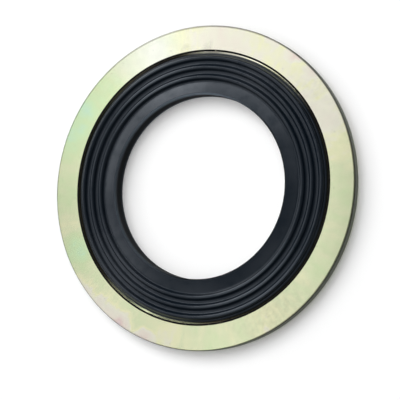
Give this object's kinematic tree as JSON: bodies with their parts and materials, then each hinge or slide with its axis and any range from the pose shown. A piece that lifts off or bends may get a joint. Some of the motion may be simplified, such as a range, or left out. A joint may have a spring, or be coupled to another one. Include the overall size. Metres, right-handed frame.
{
  "type": "bonded sealing washer",
  "caption": "Flat sealing washer: plated steel outer ring bonded to a wide black rubber ring with concentric sealing ridges and a raised lip round the bore.",
  "frame": {"origin": "centre of the circle that the washer rests on: on its axis, at the height of the lowest ridges and lip", "axes": "+Z along the washer's axis, upwards; X and Y lie in its plane and are interchangeable"},
  "size_m": [0.06, 0.06, 0.0032],
  "materials": {
    "plated_steel": "zinc plated, yellow chromate passivated, satin",
    "seal_rubber": "moulded, semi-matt black"
  },
  "bodies": {
    "root": {"steel_ring": "plated_steel", "rubber_seal": "seal_rubber"}
  },
  "joints": []
}
